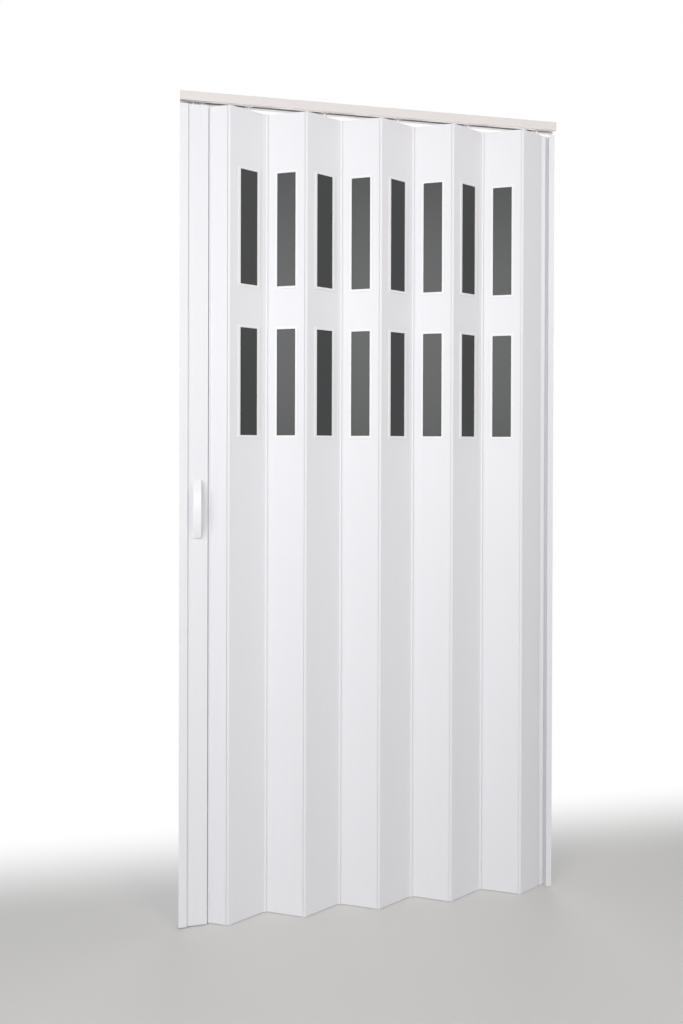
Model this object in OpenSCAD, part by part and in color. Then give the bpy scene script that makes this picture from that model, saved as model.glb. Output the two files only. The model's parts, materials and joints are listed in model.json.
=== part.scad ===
// Accordion door: hollow slats interlocked at their edges, hung from a top rail.
// Origin: middle of the rail's top face, on the track line. +X to the right, -Y to the front, +Z up.

/* [Opening] */
// Width between the walls, from the back of one side profile to the back of the other
opening_w = 975; // [880:1:1090]
// Height of the slats, the lead post and both side profiles
slat_h = 2000; // [1900:10:2150]
// Gap between the underside of the rail and the tops of the slats
top_gap = 8; // [5:0.5:11]

/* [Folding] */
// Least angle of the slats to the rail when the door is closed, which sets how many slats it has
least_fold = 16; // [12:1:20]
// Angle of the slats to the rail when the door is folded right back
open_fold = 79; // [65:1:79]

/* [Slats] */
// Distance between the two fold axes of a slat
slat_w = 102; // [100:0.5:106]
// Thickness of a slat's plate
slat_t = 5.5; // [5:0.25:6.5]
// Thickness of the plate's skins and ribs
skin = 1; // [0.8:0.1:1.2]
// Hollow chambers across a full slat, an odd number
chambers = 5; // [3:2:7]
// Solid edge between a fold axis and the first chamber
solid_edge = 9; // [8:0.5:10]
// How far the last slat runs past its pivot, towards the wall
tail = 15; // [13:0.5:18]

/* [Fold joints] */
// Radius of the bead on a slat's edge
bead_r = 3.6; // [3.4:0.05:3.7]
// Radial clearance between a bead and its socket
bead_clearance = 0.08; // [0.05:0.01:0.1]
// Thickness of the neck that carries a bead
neck_t = 1.2; // [1:0.1:1.4]
// Distance from the fold axis to the inner face of the plate, so that folded plates lie clear
face_offset = 0.4; // [0.3:0.1:0.8]
// Gap between a socket and the edge of the next plate
groove = 0.8; // [0.4:0.1:1]
// How far the plate's lip stops short of the fold axis
lip_setback = 3.6; // [3.2:0.1:4.5]
// Clearance left on each side of a neck in the mouth of its socket
mouth_clearance = 0.3; // [0.25:0.05:0.4]

/* [Windows] */
// Visible width of a pane
pane_w = 48; // [40:1:52]
// Visible height of an upper pane
upper_h = 282; // [220:1:300]
// Visible height of a lower pane
lower_h = 265; // [220:1:300]
// From the top of the slat to the top of the upper pane
upper_drop = 148; // [120:1:180]
// Height of plain slat between the upper and the lower pane
pane_spacing = 107; // [80:1:140]
// Thickness of a pane
pane_t = 2; // [1.5:0.25:2.5]
// How far a pane's edge reaches behind its frame
pane_lap = 2.2; // [1.8:0.1:2.4]
// Width of a frame's face
bezel_w = 6; // [4:0.5:8]
// How far a frame stands out from the slat
bezel_t = 1.8; // [1:0.1:2.2]
// Wall of the frame's rim, which fills the edge of the cut-out
rim_t = 2.5; // [2.5:0.1:3]

/* [Rail] */
// Depth of the rail, front to back
rail_d = 30; // [27:1:36]
// Height of the rail
rail_h = 22; // [20:1:28]
// Wall of the rail
rail_t = 2; // [1.6:0.2:2.6]
// Width of the slot under the rail
slot_w = 9; // [8:0.5:11]
// Radius of the rail's screw holes
rail_hole_r = 2.25; // [1.75:0.25:2.5]
// Distance between the two outer screw holes
outer_spacing = 760; // [700:10:800]
// Distance between the two inner screw holes
inner_spacing = 300; // [280:10:340]

/* [Gliders] */
// Diameter of the glider button that runs in the rail
button_d = 20; // [16:0.5:21]
// Thickness of the button
button_t = 3; // [2.5:0.25:4]
// Diameter of the pin under the button
pin_d = 4; // [3:0.25:5]
// Height of the gap between the button and what carries it
button_gap = 0.3; // [0.2:0.05:0.4]
// Depth of the plug inside the slat
plug_depth = 25; // [18:1:35]
// Distance between the two gliders of the lead post
post_glider_spacing = 22; // [21.5:0.5:24]

/* [Pivot] */
// Diameter of the fixed pin on which the last slat turns
pivot_d = 6; // [5:0.5:7]
// Radial clearance of that pin in its block
pivot_clearance = 0.06; // [0.03:0.01:0.1]
// Length of the block along the rail
block_l = 32; // [26:1:40]
// Height of the block
block_h = 11; // [9:0.5:12]

/* [Lead post] */
// Width of the post
post_w = 51; // [48:1:56]
// How far the closed post reaches into the mouth of the strike channel
post_nest = 2.5; // [1:0.5:4]
// Thickness of the post
post_d = 20; // [18:0.5:22]
// Wall of the post
post_t = 1.6; // [1.4:0.1:2]
// Radius of the post's long edges
post_round = 0.75; // [0.5:0.25:3]
// From the post's side face to the axis where the slats join it
post_reach = 3.3; // [3:0.1:5]
// Depth of the plug at each end of the post
cap_depth = 20; // [15:1:30]

/* [Side profiles] */
// Width of the strike channel that the closed post meets
strike_w = 20; // [17:0.5:24]
// How far the strike channel's lips turn in
strike_lip = 1.5; // [1:0.1:2]
// Clearance between the post and each of those lips
lip_clearance = 0.9; // [0.6:0.1:1.5]
// Wall of both side channels
channel_t = 1.6; // [1.4:0.1:2]
// Gap between the closing strip and the last slat's edge
side_gap = 0.5; // [0.4:0.1:0.8]
// Width of the hinge-side channel
jamb_w = 15; // [12:0.5:16]
// Depth of the hinge-side channel, front to back
jamb_d = 20; // [18:0.5:24]
// From the track line forward to the front of the hinge-side channel
jamb_front = 4; // [3:0.5:6]
// From the last slat's pivot to the wall
pivot_to_wall = 49; // [46:0.5:54]
// Depth of the closing strip's head, which stands beside the last slat
strip_d = 8; // [6:0.5:9]
// Width of the shadow groove between the closing strip and its channel
strip_groove = 4; // [3:0.5:6]
// Radius of the side channels' screw holes
channel_hole_r = 1.8; // [1.5:0.1:2.1]
// From each end of a side channel to the nearest screw hole
hole_inset = 100; // [60:10:150]
// Distance between the two middle screw holes
middle_spacing = 600; // [400:10:800]

/* [Magnets] */
// Width of a magnet strip
magnet_w = 5; // [4:0.5:6]
// Thickness of a magnet strip
magnet_t = 2; // [1.5:0.25:2.5]
// Distance between the centres of two magnet strips side by side
magnet_spacing = 13; // [12.5:0.25:14]
// Gap between the magnets of the closed door
magnet_gap = 0.4; // [0.3:0.1:0.6]

/* [Handle] */
// Height of the handle
handle_h = 142; // [120:1:170]
// Width of the handle
handle_w = 20; // [16:0.5:24]
// How far the handle stands out from the post
handle_reach = 28; // [26:0.5:34]
// Thickness of the bow
bow_t = 8; // [6:0.5:9]
// Radius of the bow's outer curve
bow_r = 140; // [130:1:200]
// Length of each foot
foot_l = 16; // [14:0.5:20]
// Radius of the handle's corners, seen from the front
handle_round = 5; // [4:0.5:8]
// Height of the handle's middle above the foot of the door
handle_level = 1018; // [950:1:1100]
// Diameter of the handle screws
screw_d = 4; // [3:0.5:5]
// Height of the screws' seat inside the back handle's feet
seat_h = 6; // [4:0.5:7]
// Diameter of a screw's head
head_d = 8; // [6:0.5:9]
// Height of a screw's head
head_h = 3; // [2:0.25:3.5]
// How far a screw runs into the front handle's foot
screw_bite = 7; // [5:0.5:8]

/* [Hidden] */
$fn = 64;

// Clearance between pieces that are pushed together
fit = 0.15;
// How far a cut runs past the face that it opens
over = 1;

// Heights
rail_z = -rail_h;
slat_top = rail_z - top_gap;
slat_z = slat_top - slat_h;
flange_z = rail_z + rail_t;
button_z = flange_z + button_gap;

// Fold geometry: a plate crosses the line between its two fold axes at their midpoint
socket_r = bead_r + bead_clearance;
knuckle_r = slat_t + face_offset;
lean = asin((slat_t / 2 + face_offset) / (slat_w / 2));
axis_u = slat_w / 2 * cos(lean);
axis_v = slat_t / 2 + face_offset;
edge_r = knuckle_r + groove;
neck_margin = asin(neck_t / 2 / socket_r) + mouth_clearance / socket_r * 180 / PI;
neck_sink = 3;

// Places along the rail
left_wall = -opening_w / 2;
right_wall = opening_w / 2;
pivot_x = right_wall - pivot_to_wall;
post_left = left_wall + strike_w - post_nest;
post_right = post_left + post_w;
post_mid = (post_left + post_right) / 2;
lead_x = post_right + post_reach;
// The folds alternate from the post to the pivot, so the slats between those two are even in number
full_slats = 2 * ceil(((pivot_x - lead_x) / (slat_w * cos(least_fold)) - 1) / 2);
odd_slats = [for (i = [1:2:full_slats]) i];
fold_pitch = (pivot_x - lead_x) / (full_slats + 1);
rest_fold = acos(fold_pitch / slat_w);
face_angle = rest_fold + lean;
tail_reach = tail * cos(face_angle) + slat_t / 2 * sin(face_angle);

// Chambers of a plate
chamber_pitch = 2 * (axis_u - solid_edge) / chambers;
chamber_w = chamber_pitch - skin;
chamber_t = slat_t - 2 * skin;
middle_chamber = (chambers - 1) / 2;

// Thickness of the collars that seat the plugs and pins on top of the slats and the post
collar_t = 1;

// Windows
cutout_margin = rim_t + fit;
rim_depth = (slat_t - pane_t) / 2;
windows = [
    [slat_h - upper_drop - upper_h, upper_h],
    [slat_h - upper_drop - upper_h - pane_spacing - lower_h, lower_h]
];

// Side profiles
strike_mouth = post_d / 2 + lip_clearance;
strike_inner = strike_mouth + strike_lip;
strike_d = 2 * (strike_inner + channel_t);
strike_magnet_x = left_wall + channel_t;
post_magnet_x = strike_magnet_x + magnet_t + magnet_gap;
tongue_x = post_magnet_x + magnet_t;
tongue_head_t = 2;
tongue_stem_t = 4;
tongue_head_w = magnet_spacing + magnet_w;
jamb_back = jamb_d - jamb_front;
jamb_x = right_wall - jamb_w;
strip_x = pivot_x + tail_reach + side_gap;
strip_w = jamb_x - strip_groove - strip_x;
strip_neck_t = 3;
jamb_hole_y = (jamb_back - jamb_front - strip_neck_t) / 2;

// Handle
handle_z = slat_z + handle_level;
foot_z = handle_h / 2 - foot_l / 2;
bow_centre = handle_reach - bow_r;

// Middle of slat i on the track line; the half slat is 0 and the end slat comes after the last full one
function slat_x(i) = lead_x + i * fold_pitch;
// Slats with odd numbers fold to the front at their left edge, even ones at their right edge
function turn(i) = i % 2 == 1 ? face_angle : -face_angle;

// Outlines

module sector(from, to, r) {
    steps = 6;
    polygon(concat([[0, 0]], [
        for (k = [0:steps]) r * [cos(from + (to - from) * k / steps), sin(from + (to - from) * k / steps)]
    ]));
}

module socket_cut(from, to) {
    circle(r = socket_r);
    sector(from - neck_margin, to + neck_margin, 2 * knuckle_r);
}

// Bead and its neck; the neck runs from the axis along +u and sinks into the piece that carries it
module bead(sink) {
    circle(r = bead_r);
    translate([0, -neck_t / 2]) square([edge_r + sink, neck_t]);
}

module plate(from, to, first, last) {
    difference() {
        translate([from, -slat_t / 2]) square([to - from, slat_t]);
        for (i = [first:last])
            translate([(i - middle_chamber) * chamber_pitch - chamber_w / 2, -chamber_t / 2])
                square([chamber_w, chamber_t]);
    }
}

// Plate with a bead at its right edge, folding away from the -v side there
module bead_edge_plate(from, first) {
    difference() {
        plate(from, axis_u - lip_setback, first, chambers - 1);
        translate([axis_u, -axis_v]) circle(r = edge_r);
    }
    translate([axis_u, -axis_v]) rotate(180 - lean) bead(neck_sink);
}

module full_profile() {
    difference() {
        union() {
            translate([-axis_u, axis_v]) circle(r = knuckle_r);
            bead_edge_plate(-axis_u, 0);
        }
        translate([-axis_u, axis_v]) rotate(-lean)
            socket_cut(180 - 2 * open_fold, 180 - 2 * rest_fold);
    }
}

// The half slat's socket sits on the plate's own middle line and holds the lead post's bead
module half_profile() {
    difference() {
        union() {
            circle(r = knuckle_r);
            bead_edge_plate(0, middle_chamber + 1);
        }
        rotate(-lean) socket_cut(180 - open_fold, 180 - rest_fold);
    }
}

// The last slat is cut behind its pivot and has no bead
module end_profile() {
    difference() {
        union() {
            translate([-axis_u, axis_v]) circle(r = knuckle_r);
            plate(-axis_u, tail, 0, middle_chamber);
        }
        translate([-axis_u, axis_v]) rotate(-lean)
            socket_cut(180 - 2 * open_fold, 180 - 2 * rest_fold);
    }
}

module ring_outline(w, h, wall) {
    difference() {
        square([w + 2 * wall, h + 2 * wall], center = true);
        square([w, h], center = true);
    }
}

module rounded_square(w, d, r) {
    for (x = [-1, 1], y = [-1, 1]) translate([x * (w / 2 - r), y * (d / 2 - r)]) circle(r = r);
    square([w - 2 * r, d], center = true);
    square([w, d - 2 * r], center = true);
}

// Places

// Puts a slat's own frame on the track line, mirrored for even slats
module at_slat(i) {
    translate([slat_x(i), 0, slat_z]) rotate(turn(i)) mirror([0, i % 2 == 1 ? 0 : 1, 0]) children();
}

module each_window() {
    for (k = [0:len(windows) - 1]) {
        $window_h = windows[k][1];
        translate([0, 0, windows[k][0] + $window_h / 2]) children();
    }
}

// Slats

module slat(i) {
    color("whitesmoke") at_slat(i) difference() {
        linear_extrude(slat_h) full_profile();
        each_window() cube(
            [pane_w + 2 * cutout_margin, 2 * slat_t, $window_h + 2 * cutout_margin], center = true);
    }
}

module half_slat() {
    color("whitesmoke") at_slat(0) linear_extrude(slat_h) half_profile();
}

module end_slat() {
    color("whitesmoke") at_slat(full_slats + 1) linear_extrude(slat_h) end_profile();
}

// Windows

module panes(i) {
    color([0.25, 0.27, 0.28]) at_slat(i) each_window()
        cube([pane_w + 2 * pane_lap, pane_t, $window_h + 2 * pane_lap], center = true);
}

// Two snap-in frames on one face of slat i; side is -1 for the front face and 1 for the back
module frames(i, side) {
    outward = i % 2 == 1 ? side : -side;
    color("white") at_slat(i) each_window() mirror([0, outward < 0 ? 1 : 0, 0]) {
        translate([0, slat_t / 2 + bezel_t, 0]) rotate([90, 0, 0])
            linear_extrude(bezel_t) ring_outline(pane_w, $window_h, bezel_w);
        translate([0, slat_t / 2, 0]) rotate([90, 0, 0])
            linear_extrude(rim_depth) ring_outline(pane_w, $window_h, rim_t);
    }
}

// Gliders and pivot

// Plug for the middle chamber, with a collar that rests on the slat's top
module slat_plug() {
    w = chamber_w - 2 * fit;
    t = chamber_t - 2 * fit;
    translate([-w / 2, -t / 2, slat_h - plug_depth]) cube([w, t, plug_depth + collar_t]);
    translate([-chamber_w / 2 - skin, -slat_t / 2, slat_h]) cube([chamber_w + 2 * skin, slat_t, collar_t]);
}

// Pin from height z up into the button that it carries
module button_pin(z) {
    translate([0, 0, z]) cylinder(d = pin_d, h = button_z + button_t / 2 - z);
    translate([0, 0, button_z]) cylinder(d = button_d, h = button_t);
}

module glider(i) {
    color("white") {
        at_slat(i) slat_plug();
        translate([slat_x(i), 0, 0]) button_pin(slat_top);
    }
}

module end_pivot() {
    head_z = flange_z + block_h + button_gap;
    color("white") {
        at_slat(full_slats + 1) slat_plug();
        translate([pivot_x, 0, slat_top]) cylinder(d = pivot_d, h = head_z + button_t / 2 - slat_top);
        translate([pivot_x, 0, head_z]) cylinder(d = 2 * pivot_d, h = button_t);
    }
}

module pivot_block() {
    color("gainsboro") translate([pivot_x, 0, flange_z]) difference() {
        translate([-block_l / 2, -(rail_d / 2 - rail_t), 0]) cube([block_l, rail_d - 2 * rail_t, block_h]);
        translate([0, 0, -over]) cylinder(r = pivot_d / 2 + pivot_clearance, h = block_h + 2 * over);
    }
}

// Rail

module rail_outline() {
    difference() {
        translate([-rail_d / 2, rail_z]) square([rail_d, rail_h]);
        translate([-rail_d / 2 + rail_t, rail_z + rail_t]) square([rail_d - 2 * rail_t, rail_h - 2 * rail_t]);
        translate([-slot_w / 2, rail_z - over]) square([slot_w, rail_t + 2 * over]);
    }
}

module top_rail() {
    color("whitesmoke") difference() {
        translate([left_wall, 0, 0]) rotate([90, 0, 90]) linear_extrude(opening_w) rail_outline();
        for (x = [-outer_spacing, -inner_spacing, inner_spacing, outer_spacing] / 2)
            translate([x, 0, -rail_t - over]) cylinder(r = rail_hole_r, h = rail_t + 2 * over);
    }
}

// Side profiles

// Screw holes through a channel's base, drawn along +X from x
module channel_holes(x, y) {
    for (z = [hole_inset, (slat_h - middle_spacing) / 2, (slat_h + middle_spacing) / 2, slat_h - hole_inset])
        translate([x, y, slat_z + z]) rotate([0, 90, 0])
            cylinder(r = channel_hole_r, h = channel_t + 2 * over);
}

module strike_channel() {
    color("whitesmoke") difference() {
        translate([left_wall, 0, slat_z]) linear_extrude(slat_h) difference() {
            translate([0, -strike_d / 2]) square([strike_w, strike_d]);
            translate([channel_t, -strike_inner])
                square([strike_w - 2 * channel_t, 2 * strike_inner]);
            translate([channel_t, -strike_mouth]) square([strike_w, 2 * strike_mouth]);
        }
        channel_holes(left_wall - over, 0);
    }
}

module magnet_pair(x) {
    for (side = [-1, 1])
        translate([x, side * magnet_spacing / 2 - magnet_w / 2, slat_z]) cube([magnet_t, magnet_w, slat_h]);
}

module strike_magnets() {
    color("dimgray") magnet_pair(strike_magnet_x);
}

module jamb_channel() {
    color("whitesmoke") difference() {
        translate([jamb_x, -jamb_front, slat_z]) linear_extrude(slat_h) difference() {
            square([jamb_w, jamb_d]);
            translate([-over, channel_t]) square([jamb_w - channel_t + over, jamb_d - 2 * channel_t]);
        }
        channel_holes(right_wall - channel_t - over, jamb_hole_y);
    }
}

// Hollow head beside the last slat, and a neck that clips into the channel against its back leg
module closing_strip() {
    neck_y = jamb_back - channel_t - strip_neck_t;
    color("whitesmoke") translate([strip_x, 0, slat_z]) linear_extrude(slat_h) {
        difference() {
            translate([0, jamb_back - strip_d]) square([strip_w, strip_d]);
            translate([channel_t, jamb_back - strip_d + channel_t])
                square([strip_w - 2 * channel_t, strip_d - 2 * channel_t]);
        }
        translate([strip_w - channel_t, neck_y])
            square([channel_t + strip_groove + jamb_w - channel_t, strip_neck_t]);
    }
}

// Lead post

module post_outline() {
    cavity_w = post_w - 2 * post_t - (edge_r - post_reach);
    difference() {
        translate([post_mid, 0]) rounded_square(post_w, post_d, post_round);
        translate([post_left + post_t, -(post_d / 2 - post_t)]) square([cavity_w, post_d - 2 * post_t]);
        translate([lead_x, 0]) circle(r = edge_r);
    }
    translate([lead_x, 0]) rotate(180) bead(post_t / 2);
    translate([tongue_x, -tongue_stem_t / 2]) square([post_left + post_t - tongue_x, tongue_stem_t]);
    translate([tongue_x, -tongue_head_w / 2]) square([tongue_head_t, tongue_head_w]);
}

// Two holes through the post for the handle screws
module post_screw_holes() {
    for (side = [-1, 1])
        translate([post_mid, -post_d, handle_z + side * foot_z]) rotate([-90, 0, 0])
            cylinder(r = screw_d / 2 + fit, h = 2 * post_d);
}

module lead_post() {
    color("whitesmoke") difference() {
        translate([0, 0, slat_z]) linear_extrude(slat_h) post_outline();
        post_screw_holes();
    }
}

module post_plugs() {
    plug_w = post_w - 2 * post_t - (edge_r - post_reach) - 2 * fit;
    color("gainsboro") difference() {
        for (z = [slat_z, slat_top - cap_depth])
            translate([post_left + post_t + fit, -(post_d / 2 - post_t - fit), z])
                cube([plug_w, post_d - 2 * (post_t + fit), cap_depth]);
        post_glider_places() translate([0, 0, slat_top - cap_depth - over])
            cylinder(r = pin_d / 2 + fit, h = cap_depth + 2 * over);
    }
}

module post_glider_places() {
    for (side = [-1, 1]) translate([post_mid + side * post_glider_spacing / 2, 0, 0]) children();
}

// Each pin stands in the plug at the post's top, with its collar on the post's end
module post_gliders() {
    color("white") post_glider_places() {
        button_pin(slat_top - cap_depth);
        translate([0, 0, slat_top]) cylinder(d = pin_d + 4 * collar_t, h = collar_t);
    }
}

module post_magnets() {
    color("dimgray") magnet_pair(post_magnet_x);
}

// Handles

// Side view of the bow, standing out along +x
module bow_outline() {
    difference() {
        intersection() {
            translate([0, -handle_h / 2]) square([handle_reach, handle_h]);
            translate([bow_centre, 0]) circle(r = bow_r, $fn = 128);
        }
        intersection() {
            translate([-over, -handle_h / 2 + foot_l]) square([handle_reach, handle_h - 2 * foot_l]);
            translate([bow_centre, 0]) circle(r = bow_r - bow_t, $fn = 128);
        }
    }
}

// Handle on the front face of the post, around the origin
module handle() {
    intersection() {
        translate([handle_w / 2, 0, 0]) rotate([90, 0, -90]) linear_extrude(handle_w) bow_outline();
        translate([0, over, 0]) rotate([90, 0, 0]) linear_extrude(handle_reach + 2 * over)
            rounded_square(handle_w, handle_h, handle_round);
    }
}

module foot_holes(r, from, depth) {
    for (side = [-1, 1]) translate([0, from, side * foot_z]) rotate([90, 0, 0]) cylinder(r = r, h = depth);
}

module handle_front() {
    color("white") translate([post_mid, -post_d / 2, handle_z]) difference() {
        handle();
        foot_holes(screw_d / 2 + fit / 2, over, over + screw_bite + 2 * fit);
    }
}

module handle_back() {
    color("white") translate([post_mid, post_d / 2, handle_z]) mirror([0, 1, 0]) difference() {
        handle();
        foot_holes(screw_d / 2 + fit, over, over + seat_h);
        foot_holes(head_d / 2 + fit, -seat_h, handle_reach);
    }
}

module handle_screws() {
    tip_y = -post_d / 2 - screw_bite;
    seat_y = post_d / 2 + seat_h;
    color("silver") for (side = [-1, 1]) translate([post_mid, 0, handle_z + side * foot_z]) {
        translate([0, tip_y, 0]) rotate([-90, 0, 0]) cylinder(d = screw_d, h = seat_y - tip_y + head_h / 2);
        translate([0, seat_y, 0]) rotate([-90, 0, 0]) cylinder(d = head_d, h = head_h);
    }
}

top_rail();
pivot_block();
strike_channel();
strike_magnets();
jamb_channel();
closing_strip();
lead_post();
post_plugs();
post_gliders();
post_magnets();
handle_front();
handle_back();
handle_screws();
half_slat();
end_slat();
end_pivot();
for (i = [1:full_slats]) {
    slat(i);
    panes(i);
    frames(i, -1);
    frames(i, 1);
}
for (i = odd_slats) {
    glider(i);
}
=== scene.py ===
"""Accordion door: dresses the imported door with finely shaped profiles, frames, panes and handles."""

import json
import math

import bmesh
import bpy
from mathutils import Matrix, Vector


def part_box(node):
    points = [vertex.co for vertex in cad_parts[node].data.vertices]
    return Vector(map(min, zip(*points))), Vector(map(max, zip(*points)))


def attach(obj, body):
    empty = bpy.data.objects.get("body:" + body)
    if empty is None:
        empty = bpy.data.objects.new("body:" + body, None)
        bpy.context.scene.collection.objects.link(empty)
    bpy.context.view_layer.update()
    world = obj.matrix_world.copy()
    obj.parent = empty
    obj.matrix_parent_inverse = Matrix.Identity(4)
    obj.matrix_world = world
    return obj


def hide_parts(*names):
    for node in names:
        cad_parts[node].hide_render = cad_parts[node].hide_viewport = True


bl_info = {
    "name": "Accordion Door",
    "version": (1, 0, 0),
    "blender": (4, 5, 0),
    "location": "View3D > Sidebar > Accordion Door",
    "description": "Builds the profiles, windows, handles and finishes of an accordion door",
    "category": "Object",
}

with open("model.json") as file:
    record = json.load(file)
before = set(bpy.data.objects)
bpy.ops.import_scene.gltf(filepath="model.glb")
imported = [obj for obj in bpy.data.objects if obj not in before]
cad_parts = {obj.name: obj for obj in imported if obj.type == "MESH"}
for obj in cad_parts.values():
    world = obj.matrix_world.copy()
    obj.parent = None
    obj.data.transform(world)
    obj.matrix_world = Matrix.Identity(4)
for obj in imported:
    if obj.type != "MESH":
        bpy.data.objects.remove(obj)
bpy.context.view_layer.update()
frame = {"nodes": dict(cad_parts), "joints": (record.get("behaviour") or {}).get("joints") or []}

MM = 0.001
NEAR = 0.01 * MM
FULL_SLATS = 8
FLOOR_GAP = 3 * MM
# Screw holes: places along the rail, and heights above the channels' feet
RAIL_HOLES = (-0.38, -0.15, 0.15, 0.38)
CHANNEL_HOLES = (0.1, 0.7, 1.3, 1.9)
RAIL_LOW, RAIL_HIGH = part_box("top_rail")
POST_LOW, POST_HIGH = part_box("lead_post")
STRIKE_LOW, STRIKE_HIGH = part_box("strike_channel")
JAMB_LOW, JAMB_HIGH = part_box("jamb_channel")
STRIP_LOW, STRIP_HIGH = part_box("closing_strip")
HANDLE_LOW, HANDLE_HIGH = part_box("handle_front")
SLAT_FOOT = POST_LOW.z
SLAT_HEIGHT = POST_HIGH.z - POST_LOW.z
HINGE_X = {joint["name"]: joint["pos_m"][0] for joint in frame["joints"]}


# Sizes and colours that a user would change


def length(name, description, millimetres):
    return bpy.props.FloatProperty(
        name=name, description=description, default=millimetres * MM, unit="LENGTH", precision=4)


def colour(name, description, rgb):
    return bpy.props.FloatVectorProperty(
        name=name, description=description, default=rgb, size=3, min=0, max=1, subtype="COLOR")


class DoorSizes(bpy.types.PropertyGroup):
    slat_width: length("Slat width", "Distance between the two fold axes of a slat", 102)
    slat_thickness: length("Slat thickness", "Thickness of a slat's plate", 5.5)
    skin: length("Skin", "Thickness of a slat's skins and ribs", 1)
    solid_edge: length("Solid edge", "From a fold axis to the first chamber", 9)
    tail: length("Tail", "How far the end slat runs past its pivot", 15)
    bead_radius: length("Bead radius", "Radius of the bead on a slat's edge", 3.6)
    bead_clearance: length("Bead clearance", "Gap between a bead and its socket", 0.08)
    mouth_clearance: length("Mouth clearance", "Gap between a neck and its socket's lip", 0.3)
    neck: length("Neck", "Thickness of the neck that carries a bead", 1.2)
    face_offset: length("Face offset", "From a fold axis to the plate's inner face", 0.4)
    groove: length("Groove", "Gap between a socket and the next plate", 0.8)
    lip_setback: length("Lip setback", "How far a plate's lip stops short of the fold axis", 3.6)
    open_fold: bpy.props.FloatProperty(
        name="Open fold", description="Angle of the slats when folded right back",
        default=math.radians(79), subtype="ANGLE")
    pane_width: length("Pane width", "Visible width of a pane", 48)
    upper_pane: length("Upper pane", "Visible height of the upper panes", 282)
    lower_pane: length("Lower pane", "Visible height of the lower panes", 265)
    upper_drop: length("Upper drop", "From a slat's top to its upper pane", 148)
    pane_spacing: length("Pane spacing", "Gap between the upper and the lower pane", 107)
    bezel_width: length("Bezel width", "Width of a window frame's face", 6)
    bezel_depth: length("Bezel depth", "How far a window frame stands out", 1.8)
    bezel_round: length("Bezel rounding", "Radius of a window frame's outer edge", 1.3)
    rim: length("Rim", "Wall of the rim that a window frame has in the cut-out", 2.5)
    rim_depth: length("Rim depth", "How far the rim goes into the cut-out", 1.75)
    channel_wall: length("Channel wall", "Wall of the side channels and the closing strip", 1.6)
    channel_lip: length("Channel lip", "How far the strike channel's lips turn in", 1.5)
    strip_neck: length("Strip neck", "Thickness of the closing strip's neck", 3)
    strip_gap: length("Strip gap", "From the closing strip's head to the hinge-side channel", 4)
    rail_wall: length("Rail wall", "Wall of the top rail", 2)
    slot: length("Rail slot", "Width of the slot under the rail", 9)
    post_width: length("Post width", "Width of the lead post", 51)
    post_depth: length("Post depth", "Depth of the lead post", 20)
    post_reach: length("Post reach", "From the lead post's edge to its fold axis", 3.3)
    post_wall: length("Post wall", "Wall of the lead post", 1.6)
    post_round: length("Post rounding", "Radius of the lead post's long edges", 0.75)
    tongue_head: length("Tongue head", "Width of the head on the post's tongue", 18)
    bow_radius: length("Bow radius", "Radius of the handle's outer curve", 140)
    bow_thickness: length("Bow thickness", "Thickness of the handle's bow", 8)
    foot: length("Handle foot", "Length of each foot of the handle", 16)
    handle_round: length("Handle rounding", "Radius of the handle's corners, seen from the front", 5)
    handle_face: length("Handle face", "Radius of the long edges on the handle's outer face", 4)
    handle_edge: length("Handle edge", "Radius of the edges on the handle's inner side", 2.4)
    screw: length("Screw", "Diameter of the handle screws", 4)
    screw_head: length("Screw head", "Diameter of the handle screws' heads", 8)
    screw_seat: length("Screw seat", "Thickness of a foot under a screw's head", 6)


class DoorColours(bpy.types.PropertyGroup):
    profile: colour("Profiles", "White of the slats, post and channels", (0.835, 0.832, 0.86))
    grain: colour("Grain", "Shade of the grain's hollows", (0.775, 0.773, 0.8))
    rail: colour("Rail", "White of the top rail", (0.765, 0.725, 0.71))
    bezel: colour("Window frames", "White of the window frames", (0.865, 0.865, 0.875))
    # Panes: near black partly for their smoke and partly painted shade, as dark as unlit space seen
    # through the opaque sheets
    pane: colour("Panes", "Smoke of the panes", (0.034, 0.036, 0.037))
    handle: colour("Handles", "White of the handles", (0.895, 0.895, 0.91))
    glider: colour("Gliders", "White of the gliders and the pivot", (0.86, 0.86, 0.84))
    block: colour("Inner parts", "Grey of the plugs and the pivot block", (0.55, 0.55, 0.54))
    magnet: colour("Magnets", "Grey of the magnet strips", (0.05, 0.05, 0.052))
    steel: colour("Screws", "Zinc of the screws", (0.62, 0.62, 0.6))
    floor: colour("Floor", "Pale floor", (0.72, 0.71, 0.69))


# Finishes


class Signal:
    """A shader socket that adds Math nodes when it is used in an expression."""

    def __init__(self, tree, socket):
        self.tree, self.socket = tree, socket

    def _math(self, operation, first, second):
        node = self.tree.nodes.new("ShaderNodeMath")
        node.operation = operation
        for slot, value in zip(node.inputs, (first, second)):
            if isinstance(value, Signal):
                self.tree.links.new(value.socket, slot)
            else:
                slot.default_value = value
        return Signal(self.tree, node.outputs[0])

    def __add__(self, other):
        return self._math("ADD", self, other)

    def __radd__(self, other):
        return self._math("ADD", other, self)

    def __sub__(self, other):
        return self._math("SUBTRACT", self, other)

    def __rsub__(self, other):
        return self._math("SUBTRACT", other, self)

    def __mul__(self, other):
        return self._math("MULTIPLY", self, other)

    def __rmul__(self, other):
        return self._math("MULTIPLY", other, self)


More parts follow.
